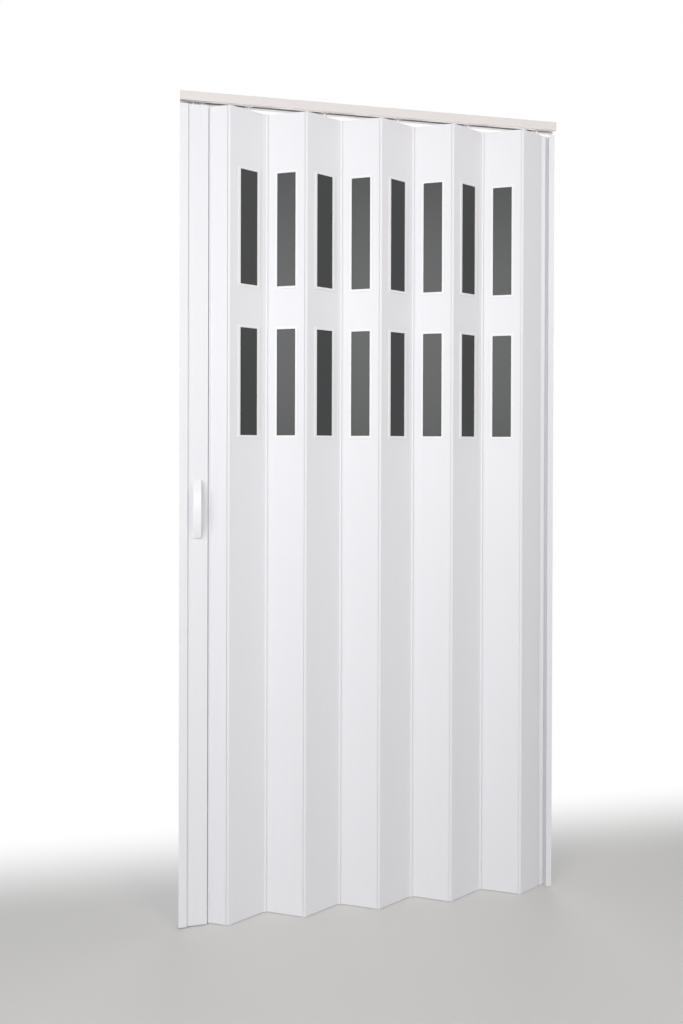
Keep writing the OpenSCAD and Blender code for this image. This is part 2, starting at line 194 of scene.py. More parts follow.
class Shading:
    """The nodes of a material or a world."""

    def __init__(self, block):
        self.block = block
        block.use_nodes = True
        self.tree = block.node_tree

    def node(self, kind, settings=None, sockets=None, output=0):
        """Any node: its settings first, then the values or links of its sockets."""
        node = self.tree.nodes.new("ShaderNode" + kind)
        for name, value in (settings or {}).items():
            setattr(node, name, value)
        self.fill(node, sockets or {})
        return Signal(self.tree, node.outputs[output])

    def seen(self):
        """1 where the camera, gloss or glass sees the surface, and 0 where it only sheds light."""
        rays = 0.0
        for ray in ("Is Camera Ray", "Is Glossy Ray", "Is Transmission Ray"):
            rays = rays + self.node("LightPath", output=ray)
        return self.node("Math", {"operation": "MINIMUM"}, {0: rays, 1: 1.0})

    def between(self, mask, low, high):
        """Colour that goes from low to high with the mask."""
        return self.node("Mix", {"data_type": "RGBA"}, {0: mask, 6: low, 7: high}, output=2)

    def fill(self, node, sockets):
        for name, value in sockets.items():
            slot = node.inputs[name]
            if isinstance(value, Signal):
                self.tree.links.new(value.socket, slot)
            elif slot.type == "RGBA":
                slot.default_value = (*value[:3], 1)
            else:
                slot.default_value = value


class Finish(Shading):
    """A procedural material on the piece's own coordinates."""

    def __init__(self, name):
        super().__init__(bpy.data.materials.new(name))
        self.shader = self.tree.nodes["Principled BSDF"]
        self.place = self.node("TexCoord", output="Object")

    def noise(self, scale, stretch=(1, 1, 1), detail=2):
        """Cloudy pattern with so many features a metre, drawn out along an axis by a factor under 1."""
        place = self.node("Mapping", sockets={"Vector": self.place, "Scale": stretch})
        return self.node("TexNoise", sockets={"Vector": place, "Scale": scale, "Detail": detail})

    def coat(self, sockets, relief, depth, strength):
        """Sets the shader's own sockets, and embosses the relief that deep."""
        self.fill(self.shader, sockets)
        bump = self.node("Bump", sockets={"Height": relief, "Distance": depth, "Strength": strength})
        self.fill(self.shader, {"Normal": bump})
        return self.block


def darker(rgb, factor):
    """The colour, times a factor under 1."""
    return tuple(factor * c for c in rgb)


def extruded_finish(name, light, deep):
    """Extruded white plastic with a faint upright grain."""
    finish = Finish(name)
    fibres = finish.noise(900, (1, 1, 0.02), 3)
    streaks = finish.noise(160, (1, 1, 0.012))
    clouds = finish.noise(6, (1, 1, 0.4))
    grain = 0.6 * fibres + 0.4 * streaks
    return finish.coat({
        "Base Color": finish.between(0.7 * grain + 0.3 * clouds, deep, light),
        "Roughness": 0.36 + 0.16 * grain,
        "Specular IOR Level": 0.45,
    }, grain, 0.12 * MM, 0.4)


def rail_finish(name, light):
    """Extruded white plastic, drawn lengthwise along the rail."""
    finish = Finish(name)
    lines = finish.noise(700, (0.01, 1, 1), 3)
    clouds = finish.noise(5, (0.4, 1, 1))
    return finish.coat({
        "Base Color": finish.between(0.6 * lines + 0.4 * clouds, darker(light, 0.95), light),
        "Roughness": 0.34 + 0.12 * lines,
        "Specular IOR Level": 0.45,
    }, lines, 0.08 * MM, 0.3)


def moulded_finish(name, light, roughness):
    """Moulded plastic with a fine skin and a few softer patches."""
    finish = Finish(name)
    skin = finish.noise(1800)
    patches = finish.noise(40, detail=3)
    return finish.coat({
        "Base Color": finish.between(patches, darker(light, 0.965), light),
        "Roughness": roughness - 0.04 + 0.08 * patches,
        "Specular IOR Level": 0.5,
    }, skin, 0.05 * MM, 0.3)


def pane_finish(name, smoke_and_shade):
    """Opaque smoked sheet with a smooth, faintly uneven face; its near black is partly the smoke and
    partly painted shade, as dark as unlit space seen through the sheet.
    """
    finish = Finish(name)
    ripple = finish.noise(30, (1, 1, 0.35))
    haze = finish.noise(9, (1, 1, 0.5), 3)
    return finish.coat({
        "Base Color": finish.between(haze, darker(smoke_and_shade, 0.85), smoke_and_shade),
        "Roughness": 0.28 + 0.08 * haze,
        "Specular IOR Level": 0.4,
    }, ripple, 0.2 * MM, 0.2)


def steel_finish(name, light):
    """Zinc plated steel."""
    finish = Finish(name)
    marks = finish.noise(700, (1, 0.1, 1))
    return finish.coat({
        "Base Color": finish.between(marks, darker(light, 0.85), light),
        "Metallic": 1.0,
        "Roughness": 0.3 + 0.15 * marks,
    }, marks, 0.03 * MM, 0.3)


def rubber_finish(name, light):
    """Magnetic rubber."""
    finish = Finish(name)
    grit = finish.noise(1200, detail=3)
    return finish.coat({
        "Base Color": finish.between(grit, darker(light, 0.7), light),
        "Roughness": 0.7 + 0.15 * grit,
        "Specular IOR Level": 0.3,
    }, grit, 0.06 * MM, 0.5)


# Work on the selected piece


def focus(*pieces):
    """Selects these pieces alone, the last one active."""
    if bpy.context.object and bpy.context.object.mode != "OBJECT":
        bpy.ops.object.mode_set(mode="OBJECT")
    bpy.ops.object.select_all(action="DESELECT")
    for piece in pieces:
        piece.select_set(True)
    if pieces:
        bpy.context.view_layer.objects.active = pieces[-1]


def named(name):
    """Names the piece just made, and its mesh."""
    piece = bpy.context.object
    piece.name = piece.data.name = name
    return piece


def editing(piece, mode="VERT"):
    """Opens a piece in edit mode with nothing selected."""
    focus(piece)
    bpy.ops.object.mode_set(mode="EDIT")
    bpy.ops.mesh.select_mode(type=mode)
    bpy.ops.mesh.select_all(action="DESELECT")


def done():
    bpy.ops.object.mode_set(mode="OBJECT")


def pick_edges(piece, wanted):
    """Selects the edges whose two ends pass a test of their place."""
    mesh = bmesh.from_edit_mesh(piece.data)
    for edge in mesh.edges:
        edge.select_set(wanted(edge.verts[0].co, edge.verts[1].co))
    bmesh.update_edit_mesh(piece.data)


def lay(piece, matrix):
    """Places a piece, and leaves its object at the origin with its place in its mesh."""
    focus(piece)
    piece.matrix_world = matrix
    bpy.ops.object.transform_apply(location=True, rotation=True, scale=True)
    return piece


def copy_of(piece, name):
    """Copy of a piece with a mesh of its own."""
    focus(piece)
    bpy.ops.object.duplicate(linked=False)
    return named(name)


def joined(pieces, name):
    """Joins pieces into one."""
    focus(*pieces)
    if len(pieces) > 1:
        bpy.ops.object.join()
    return named(name)


def modify(piece, kind, **settings):
    """Adds a modifier and applies it."""
    focus(piece)
    modifier = piece.modifiers.new(kind.lower(), kind)
    for name, value in settings.items():
        setattr(modifier, name, value)
    bpy.ops.object.modifier_apply(modifier=modifier.name)


def combine(piece, tools, operation):
    """Cuts, joins or crosses a piece with tools, which are used up."""
    tool = joined(tools, "tool")
    modify(piece, "BOOLEAN", operation=operation, object=tool, solver="EXACT")
    bpy.data.objects.remove(tool)


def turn_outwards(piece):
    """Merges doubled vertices, and turns the faces outwards."""
    editing(piece)
    bpy.ops.mesh.select_all(action="SELECT")
    bpy.ops.mesh.remove_doubles(threshold=0.002 * MM)
    bpy.ops.mesh.normals_make_consistent(inside=False)
    done()


def shade(piece):
    """Smooth over curves, with flat faces kept flat."""
    focus(piece)
    bpy.ops.object.shade_smooth_by_angle(angle=math.radians(32))
    modify(piece, "WEIGHTED_NORMAL", mode="FACE_AREA", weight=100, keep_sharp=True)


def hand_over(piece, body, nodes, finish):
    """Gives a finished piece its material, and puts it on its body in place of its plain nodes."""
    turn_outwards(piece)
    shade(piece)
    piece.data.materials.clear()
    piece.data.materials.append(bpy.data.materials[finish])
    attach(piece, body)
    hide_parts(*nodes)


# Outlines of cross-sections


def arc(centre, radius, start, end, step=9):
    """Points on a circle from one angle to another, in degrees."""
    count = max(2, math.ceil(abs(end - start) / step))
    angles = [math.radians(start + (end - start) * k / count) for k in range(count + 1)]
    return [(centre[0] + radius * math.cos(a), centre[1] + radius * math.sin(a)) for a in angles]


def rectangle(left, bottom, right, top):
    return [(left, bottom), (right, bottom), (right, top), (left, top)]


def eased(outline, radius, corners=None):
    """Rounds the outline's sharp corners, or only those at the given points."""
    made = []
    for k, here in enumerate(outline):
        p = Vector(here)
        a, b = Vector(outline[k - 1]) - p, Vector(outline[(k + 1) % len(outline)]) - p
        wanted = corners is None or any((p - Vector(c)).length < 0.02 * MM for c in corners)
        if not wanted or a.angle(b) > math.radians(150):
            made.append(here)
            continue
        reach = min(radius, 0.45 * a.length, 0.45 * b.length)
        start, end = p + a.normalized() * reach, p + b.normalized() * reach
        for t in (0, 0.25, 0.5, 0.75, 1):
            q = start * (1 - t) ** 2 + p * (2 * t * (1 - t)) + end * t ** 2
            made.append((q.x, q.y))
    return made


def draw(piece, outline):
    """Draws a closed outline in edit mode: one vertex, pulled out from point to point."""
    bpy.ops.mesh.select_all(action="DESELECT")
    bpy.ops.mesh.primitive_plane_add(size=MM, location=(*outline[0], 0))
    bpy.ops.mesh.merge(type="CENTER")
    for (x, y), (next_x, next_y) in zip(outline, outline[1:]):
        bpy.ops.mesh.extrude_vertices_move(
            TRANSFORM_OT_translate={"value": (next_x - x, next_y - y, 0)})
    mesh = bmesh.from_edit_mesh(piece.data)
    start = Vector((*outline[0], 0))
    min(mesh.verts, key=lambda vert: (vert.co - start).length).select_set(True)
    bmesh.update_edit_mesh(piece.data)
    bpy.ops.mesh.edge_face_add()


def profile(name, outlines, depth):
    """Extrudes an outline, with any hollows inside it, along +Z from the ground plane."""
    focus()
    bpy.ops.mesh.primitive_plane_add(size=MM)
    piece = named(name)
    editing(piece)
    bpy.ops.mesh.select_all(action="SELECT")
    bpy.ops.mesh.delete(type="VERT")
    for outline in outlines:
        draw(piece, outline)
    bpy.ops.mesh.select_all(action="SELECT")
    bpy.ops.mesh.fill(use_beauty=True)
    bpy.ops.mesh.select_all(action="SELECT")
    bpy.ops.mesh.extrude_region_move(TRANSFORM_OT_translate={"value": (0, 0, depth)})
    done()
    turn_outwards(piece)
    return piece


def box_tool(low, high):
    """Box from its lowest to its highest corner, to cut with."""
    low, high = Vector(low), Vector(high)
    focus()
    bpy.ops.mesh.primitive_cube_add(size=1, location=(low + high) / 2, scale=high - low)
    return named("box_tool")


def drill(start, direction, radius, depth):
    """Round tool that goes that deep from a point."""
    direction = Vector(direction).normalized()
    focus()
    bpy.ops.mesh.primitive_cylinder_add(
        vertices=40, radius=radius, depth=depth, location=Vector(start) + direction * depth / 2,
        rotation=direction.to_track_quat("Z", "Y").to_euler())
    return named("drill")


# From a profile on the ground plane to one on the slats' feet, and to one along the rail
UPRIGHT = Matrix.Translation((0, 0, SLAT_FOOT))
ALONG_RAIL = Matrix(((0, 0, 1, 0), (1, 0, 0, 0), (0, 1, 0, 0), (0, 0, 0, 1)))


# The fold joint


class FoldJoint:
    """A slat's cross-section: u runs along the plate from its middle, v to its back."""

    def __init__(self, sizes):
        self.sizes = sizes
        self.half = sizes.slat_thickness / 2
        self.axis_v = self.half + sizes.face_offset
        self.lean = math.asin(self.axis_v / (sizes.slat_width / 2))
        self.axis_u = sizes.slat_width / 2 * math.cos(self.lean)
        self.socket = sizes.bead_radius + sizes.bead_clearance
        self.knuckle = sizes.slat_thickness + sizes.face_offset
        self.edge = self.knuckle + sizes.groove
        self.lip = self.axis_u - sizes.lip_setback
        self.margin = math.asin(sizes.neck / 2 / self.socket) + sizes.mouth_clearance / self.socket
        self.lead_x = HINGE_X["fold_lead"]
        self.pitch = (HINGE_X["fold_pivot"] - self.lead_x) / (FULL_SLATS + 1)
        self.rest = math.acos(self.pitch / sizes.slat_width)

    def stand(self, i):
        """Stands slat i on the track line; the half slat is 0."""
        turn = self.rest + self.lean
        return (Matrix.Translation((self.lead_x + i * self.pitch, 0, SLAT_FOOT))
                @ Matrix.Rotation(turn if i % 2 else -turn, 4, "Z"))

    def stand_plate(self, i):
        """The same, with the cross-section mirrored for even slats."""
        return self.stand(i) @ Matrix.Diagonal((1, 1 if i % 2 else -1, 1, 1))

    def bead_and_neck(self, centre, heading, sink):
        """The neck's foot, the bead's points, and the angle where the seat for the next socket starts."""
        along = Vector((math.cos(heading), math.sin(heading)))
        down = Vector((-along.y, along.x))
        turn = math.degrees(heading)
        neck = self.sizes.neck / 2
        foot = Vector(centre) + along * (self.edge + sink) + down * neck
        nip = math.degrees(math.asin(neck / self.sizes.bead_radius))
        return (tuple(foot), arc(centre, self.sizes.bead_radius, turn + nip, turn + 360 - nip),
                turn - math.degrees(math.asin(neck / self.edge)))

    def bead_edge(self):
        """Right edge of a plate, from its front face round the bead to its back face."""
        centre = (self.axis_u, -self.axis_v)
        foot, bead, seat_start = self.bead_and_neck(centre, math.pi - self.lean, 3 * MM)
        rise = (-self.half - foot[1]) / math.cos(self.lean)
        root = (foot[0] + rise * math.sin(self.lean), -self.half)
        seat_end = 180 - math.degrees(math.acos(self.sizes.lip_setback / self.edge))
        return ([root, foot] + bead + arc(centre, self.edge, seat_start, seat_end)
                + [(self.lip, self.half)])

    def knuckle_mouth(self, centre, folds, first, last):
        """Knuckle and socket, from one angle on the knuckle to another; the mouth lets the neck turn."""
        start = math.degrees(math.pi - folds * self.sizes.open_fold - self.lean - self.margin)
        end = math.degrees(math.pi - folds * self.rest - self.lean + self.margin)
        return (arc(centre, self.knuckle, first, start, 6) + arc(centre, self.socket, start, end - 360)
                + arc(centre, self.knuckle, end, last, 6))

    def socket_edge(self):
        """Left edge of a plate, from its back face round the socket to its front face."""
        first = math.degrees(math.asin((self.half - self.axis_v) / self.knuckle))
        return self.knuckle_mouth((-self.axis_u, self.axis_v), 2, first, 270)

    def full_outline(self):
        """Full slat, with a bead on its right edge and a socket on its left."""
        return eased(self.bead_edge() + self.socket_edge(), 0.3 * MM)

    def end_outline(self):
        """The end slat has a plain tail past its pivot."""
        tail = self.sizes.tail
        return eased([(tail, -self.half), (tail, self.half)] + self.socket_edge(), 0.3 * MM)

    def half_outline(self):
        """The half slat's socket sits on the plate's middle line."""
        meet = math.degrees(math.asin(self.half / self.knuckle))
        return eased(self.bead_edge() + self.knuckle_mouth((0, 0), 1, meet, 360 - meet), 0.3 * MM)

    def chambers(self, first, last):
        """Hollows of a plate, numbered from its left edge."""
        count = 5
        pitch = 2 * (self.axis_u - self.sizes.solid_edge) / count
        wide, deep = (pitch - self.sizes.skin) / 2, self.half - self.sizes.skin
        middles = [(k - (count - 1) / 2) * pitch for k in range(first, last + 1)]
        return [eased(rectangle(u - wide, -deep, u + wide, deep), 0.4 * MM) for u in middles]


def window_spans(sizes):
    """Lowest and highest level of each pane above the slat's foot."""
    upper_top = SLAT_HEIGHT - sizes.upper_drop
    upper_foot = upper_top - sizes.upper_pane
    lower_top = upper_foot - sizes.pane_spacing
    return [(upper_foot, upper_top), (lower_top - sizes.lower_pane, lower_top)]


# Pieces


class DOOR_OT_finishes(bpy.types.Operator):
    """Makes the finishes, and gives the plain inner parts theirs"""

    bl_idname = "door.finishes"
    bl_label = "Finishes"

    def execute(self, context):
        colours = context.scene.door_colours
        extruded_finish("profile", colours.profile, colours.grain)
        rail_finish("rail", colours.rail)
        moulded_finish("window_frame", colours.bezel, 0.38)
        moulded_finish("handle", colours.handle, 0.3)
        plain = {
            # Panes: their smoke, with painted shade of the unlit space behind them in the near black
            pane_finish("smoked_pane", colours.pane): [f"panes_{i}" for i in range(1, FULL_SLATS + 1)],
            moulded_finish("glider", colours.glider, 0.45):
                ["post_gliders", "end_pivot"] + [f"glider_{i}" for i in range(1, FULL_SLATS, 2)],
            moulded_finish("inner_block", colours.block, 0.55): ["pivot_block", "post_plugs"],
            rubber_finish("magnet", colours.magnet): ["strike_magnets", "post_magnets"],
            steel_finish("zinc", colours.steel): ["handle_screws"],
        }
        for material, nodes in plain.items():
            for name in nodes:
                for slot in frame["nodes"][name].material_slots:
                    slot.material = material
        return {"FINISHED"}


class DOOR_OT_slats(bpy.types.Operator):
    """Full slats, hollow, with two window cut-outs and a fold joint on each edge"""

    bl_idname = "door.slats"
    bl_label = "Full Slats"

    def execute(self, context):
        sizes = context.scene.door_sizes
        fold = FoldJoint(sizes)
        master = profile("slat_master", [fold.full_outline()] + fold.chambers(0, 4), SLAT_HEIGHT)
        margin = sizes.rim + 0.15 * MM
        wide, deep = sizes.pane_width / 2 + margin, 2 * sizes.slat_thickness
        combine(master, [box_tool((-wide, -deep, low - margin), (wide, deep, high + margin))
                         for low, high in window_spans(sizes)], "DIFFERENCE")
        for i in range(1, FULL_SLATS + 1):
            slat = lay(copy_of(master, f"full_slat_{i}"), fold.stand_plate(i))
            hand_over(slat, f"panel_{i}", [f"slat_{i}"], "profile")
        bpy.data.objects.remove(master)
        return {"FINISHED"}


class DOOR_OT_outer_slats(bpy.types.Operator):
    """Half slat beside the lead post, and the end slat that carries the pivot"""

    bl_idname = "door.outer_slats"
    bl_label = "Half and End Slats"

    def execute(self, context):
        fold = FoldJoint(context.scene.door_sizes)
        half = profile("near_half_slat", [fold.half_outline()] + fold.chambers(3, 4), SLAT_HEIGHT)
        hand_over(lay(half, fold.stand_plate(0)), "half_panel", ["half_slat"], "profile")
        end = profile("pivot_slat", [fold.end_outline()] + fold.chambers(0, 2), SLAT_HEIGHT)
        hand_over(lay(end, fold.stand_plate(FULL_SLATS + 1)), "end_panel", ["end_slat"],
                  "profile")
        return {"FINISHED"}


class DOOR_OT_window_frames(bpy.types.Operator):
    """Snap-in frames on both faces of every full slat, each with a rim inside the cut-out"""

    bl_idname = "door.window_frames"
    bl_label = "Window Frames"

    def window_frame(self, sizes, height):
        """One frame around the origin, standing out along +Z from the slat's middle plane."""
        def outline(wall, radius):
            wide, high = sizes.pane_width / 2 + wall, height / 2 + wall
            return eased(rectangle(-wide, -high, wide, high), radius)

        face, top = sizes.slat_thickness / 2, sizes.slat_thickness / 2 + sizes.bezel_depth
        opening, overlap = outline(0, 1.2 * MM), 0.5 * MM
        bezel = profile("bezel", [outline(sizes.bezel_width, 2.2 * MM), opening], sizes.bezel_depth)
        lay(bezel, Matrix.Translation((0, 0, face)))
        rim = profile("rim", [outline(sizes.rim, 1 * MM), opening], sizes.rim_depth + overlap)
        lay(rim, Matrix.Translation((0, 0, face - sizes.rim_depth)))
        combine(bezel, [rim], "UNION")

        def on_top(p):
            return abs(p.z - top) < NEAR

        def inside(p):
            return abs(p.x) < sizes.pane_width / 2 + NEAR and abs(p.y) < height / 2 + NEAR

        editing(bezel, "EDGE")
        pick_edges(bezel, lambda p, q: on_top(p) and on_top(q) and not inside(p) and not inside(q))
        bpy.ops.mesh.bevel(offset=sizes.bezel_round, segments=4, affect="EDGES", clamp_overlap=True)
        pick_edges(bezel, lambda p, q: on_top(p) and on_top(q) and inside(p) and inside(q))
        bpy.ops.mesh.bevel(offset=0.7 * MM, segments=3, affect="EDGES", clamp_overlap=True)
        done()
        return bezel

    def execute(self, context):
        sizes = context.scene.door_sizes
        fold = FoldJoint(sizes)
        pair = []
        for low, high in window_spans(sizes):
            ring = self.window_frame(sizes, high - low)
            pair.append(lay(ring, Matrix.Translation((0, 0, (low + high) / 2))
                            @ Matrix.Rotation(math.pi / 2, 4, "X")))
        master = joined(pair, "frame_pair")
        for i in range(1, FULL_SLATS + 1):
            for side, turn in (("front", 0), ("back", math.pi)):
                frames = lay(copy_of(master, f"{side}_bezels_{i}"),
                             fold.stand(i) @ Matrix.Rotation(turn, 4, "Z"))
                hand_over(frames, f"panel_{i}", [f"{side}_frames_{i}"], "window_frame")
        bpy.data.objects.remove(master)
        return {"FINISHED"}


class DOOR_OT_lead_post(bpy.types.Operator):
    """Hollow lead post with a tongue for the strike channel and a bead for the half slat"""

    bl_idname = "door.lead_post"
    bl_label = "Lead Post"

    def execute(self, context):
        sizes = context.scene.door_sizes
        fold = FoldJoint(sizes)
        centre = (fold.lead_x, 0)
        right = fold.lead_x - sizes.post_reach
        left, deep = right - sizes.post_width, sizes.post_depth / 2
        foot, bead, seat_start = fold.bead_and_neck(centre, math.pi, 0)
        mouth = math.degrees(math.acos(sizes.post_reach / fold.edge))
        seat = arc(centre, fold.edge, 180 + mouth, 360 - seat_start)
        other_seat = arc(centre, fold.edge, seat_start, 180 - mouth)
        head, stem = sizes.tongue_head / 2, 2 * MM
        tip, shoulder = POST_LOW.x, POST_LOW.x + 2 * MM
        corners = rectangle(left, -deep, right, deep)
        outline = (corners[:2] + seat + bead + other_seat + corners[2:]
                   + [(left, stem), (shoulder, stem), (shoulder, head), (tip, head),
                      (tip, -head), (shoulder, -head), (shoulder, -stem), (left, -stem)])
        outline = eased(eased(outline, sizes.post_round, corners), 0.3 * MM)
        wall, seat_depth = sizes.post_wall, fold.edge - sizes.post_reach
        cavity = rectangle(left + wall, wall - deep, right - wall - seat_depth, deep - wall)
        post = profile("hollow_post", [outline, eased(cavity, 0.8 * MM)], SLAT_HEIGHT)
        lay(post, UPRIGHT)
        middle = (left + right) / 2
        holes = [drill((middle, -2 * deep, z), (0, 1, 0), sizes.screw / 2 + 0.15 * MM, 4 * deep)
                 for z in (HANDLE_LOW.z + sizes.foot / 2, HANDLE_HIGH.z - sizes.foot / 2)]
        combine(post, holes, "DIFFERENCE")
        hand_over(post, "lead", ["lead_post"], "profile")
        return {"FINISHED"}


class DOOR_OT_handles(bpy.types.Operator):
    """Bow handles on both faces of the lead post, the back one with seats for its screws"""

    bl_idname = "door.handles"
    bl_label = "Handles"

    def bow(self, sizes):
        """Bow around the origin, standing out along -Y from the face that it is fixed to."""
        high = (HANDLE_HIGH.z - HANDLE_LOW.z) / 2
        wide = (HANDLE_HIGH.x - HANDLE_LOW.x) / 2
        reach = HANDLE_HIGH.y - HANDLE_LOW.y
        centre = (reach - sizes.bow_radius, 0)
        inner = sizes.bow_radius - sizes.bow_thickness
        foot = high - sizes.foot
        outer_angle = math.degrees(math.asin(high / sizes.bow_radius))
        inner_angle = math.degrees(math.asin(foot / inner))
        side = ([(0, -high)] + arc(centre, sizes.bow_radius, -outer_angle, outer_angle, 3)
                + [(0, high), (0, foot)] + arc(centre, inner, inner_angle, -inner_angle, 3) + [(0, -foot)])
        bow = profile("bow", [side], 2 * wide)
        lay(bow, Matrix(((0, 0, 1, -wide), (-1, 0, 0, 0), (0, 1, 0, 0), (0, 0, 0, 1))))
        plan = arc((wide - sizes.handle_round, high - sizes.handle_round), sizes.handle_round, 0, 90)
        plan += [(-x, y) for x, y in reversed(plan)]
        plan += [(x, -y) for x, y in reversed(plan)]
        block = profile("block", [plan], 2 * reach)
        lay(block, Matrix.Translation((0, reach / 2, 0)) @ Matrix.Rotation(math.pi / 2, 4, "X"))
        combine(bow, [block], "INTERSECT")
        turn_outwards(bow)
        middle = Vector((0, -centre[0], 0))

        def on_face(p):
            return abs((Vector((0, p.y, p.z)) - middle).length - sizes.bow_radius) < 0.1 * MM

        def off_the_post(p):
            return p.y < -NEAR

        for radius, wanted in ((sizes.handle_face, on_face), (sizes.handle_edge, off_the_post)):
            editing(bow, "EDGE")
            bpy.ops.mesh.edges_select_sharp(sharpness=math.radians(40))
            mesh = bmesh.from_edit_mesh(bow.data)
            for edge in mesh.edges:
                if not all(wanted(vert.co) for vert in edge.verts):
                    edge.select_set(False)
            bmesh.update_edit_mesh(bow.data)
            bpy.ops.mesh.bevel(offset=radius, segments=6, affect="EDGES", clamp_overlap=True)
            done()
        return bow

    def execute(self, context):
        sizes = context.scene.door_sizes
        middle = (HANDLE_LOW + HANDLE_HIGH) / 2
        screw_z = (HANDLE_HIGH.z - HANDLE_LOW.z - sizes.foot) / 2
        levels = (-screw_z, screw_z)
        seat, loose = sizes.screw_seat, 0.15 * MM
        master = self.bow(sizes)
        front = copy_of(master, "front_bow")
        combine(front, [drill((0, MM, z), (0, -1, 0), sizes.screw / 2 + loose / 2, 8.3 * MM)
                        for z in levels], "DIFFERENCE")
        lay(front, Matrix.Translation((middle.x, HANDLE_HIGH.y, middle.z)))
        hand_over(front, "lead", ["handle_front"], "handle")
        back = lay(copy_of(master, "back_bow"), Matrix.Rotation(math.pi, 4, "Z"))
        combine(back, [drill((0, -MM, z), (0, 1, 0), sizes.screw / 2 + loose, seat + 2 * MM)
                       for z in levels], "DIFFERENCE")
        combine(back, [drill((0, seat, z), (0, 1, 0), sizes.screw_head / 2 + loose, 30 * MM)
                       for z in levels], "DIFFERENCE")
        lay(back, Matrix.Translation((middle.x, -HANDLE_HIGH.y, middle.z)))
        hand_over(back, "lead", ["handle_back"], "handle")
        bpy.data.objects.remove(master)
        return {"FINISHED"}


class DOOR_OT_rail(bpy.types.Operator):
    """Top rail: a hollow profile with a slot underneath and screw holes in its top"""

    bl_idname = "door.rail"
    bl_label = "Top Rail"

    def execute(self, context):
        sizes = context.scene.door_sizes
        deep, foot, wall, slot = RAIL_HIGH.y, RAIL_LOW.z, sizes.rail_wall, sizes.slot / 2
        outline = [(-deep, foot), (-slot, foot), (-slot, foot + wall), (wall - deep, foot + wall),
                   (wall - deep, -wall), (deep - wall, -wall), (deep - wall, foot + wall),
                   (slot, foot + wall), (slot, foot), (deep, foot), (deep, 0), (-deep, 0)]
        rail = profile("slotted_rail", [eased(outline, 0.7 * MM)], RAIL_HIGH.x - RAIL_LOW.x)
        lay(rail, Matrix.Translation((RAIL_LOW.x, 0, 0)) @ ALONG_RAIL)
        holes = [drill((x, 0, MM), (0, 0, -1), 2.25 * MM, 4 * MM) for x in RAIL_HOLES]
        combine(rail, holes, "DIFFERENCE")
        hand_over(rail, "fixed", ["top_rail"], "rail")
        return {"FINISHED"}


class DOOR_OT_side_channels(bpy.types.Operator):
    """Strike channel, hinge-side channel and the closing strip that clips into it"""

    bl_idname = "door.side_channels"
    bl_label = "Side Channels"

    def upright(self, name, node, outlines, holes_at=None):
        """A profile as tall as the slats, with screw holes through the wall at a place in plan."""
        piece = lay(profile(name, outlines, SLAT_HEIGHT), UPRIGHT)
        if holes_at:
            combine(piece, [drill((*holes_at, SLAT_FOOT + z), (1, 0, 0), 1.8 * MM, 6 * MM)
                            for z in CHANNEL_HOLES], "DIFFERENCE")
        hand_over(piece, "fixed", [node], "profile")

    def execute(self, context):
        sizes = context.scene.door_sizes
        wall, lip = sizes.channel_wall, sizes.channel_lip
        left, right, deep = STRIKE_LOW.x, STRIKE_HIGH.x, STRIKE_HIGH.y
        lip_end = wall + lip - deep
        strike = [(left, -deep), (right, -deep), (right, lip_end), (right - wall, lip_end),
                  (right - wall, wall - deep), (left + wall, wall - deep)]
        strike += [(x, -y) for x, y in reversed(strike)]
        self.upright("strike_profile", "strike_channel", [eased(strike, 0.6 * MM)], (left - 2 * MM, 0))
        left, right, front, back = JAMB_LOW.x, JAMB_HIGH.x, JAMB_LOW.y, JAMB_HIGH.y
        jamb = [(left, front), (right, front), (right, back), (left, back), (left, back - wall),
                (right - wall, back - wall), (right - wall, front + wall), (left, front + wall)]
        self.upright("jamb_profile", "jamb_channel", [eased(jamb, 0.6 * MM)],
                     (right - 4 * MM, (front + back - sizes.strip_neck) / 2))
        head = left - sizes.strip_gap
        front, back, neck = STRIP_LOW.y, STRIP_HIGH.y, STRIP_HIGH.y - wall
        strip = [(STRIP_LOW.x, front), (head, front), (head, neck - sizes.strip_neck),
                 (STRIP_HIGH.x, neck - sizes.strip_neck), (STRIP_HIGH.x, neck), (head, neck), (head, back),
                 (STRIP_LOW.x, back)]
        hollow = rectangle(STRIP_LOW.x + wall, front + wall, head - wall, back - wall)
        self.upright("strip_profile", "closing_strip", [eased(strip, 0.8 * MM), eased(hollow, 0.4 * MM)])
        return {"FINISHED"}


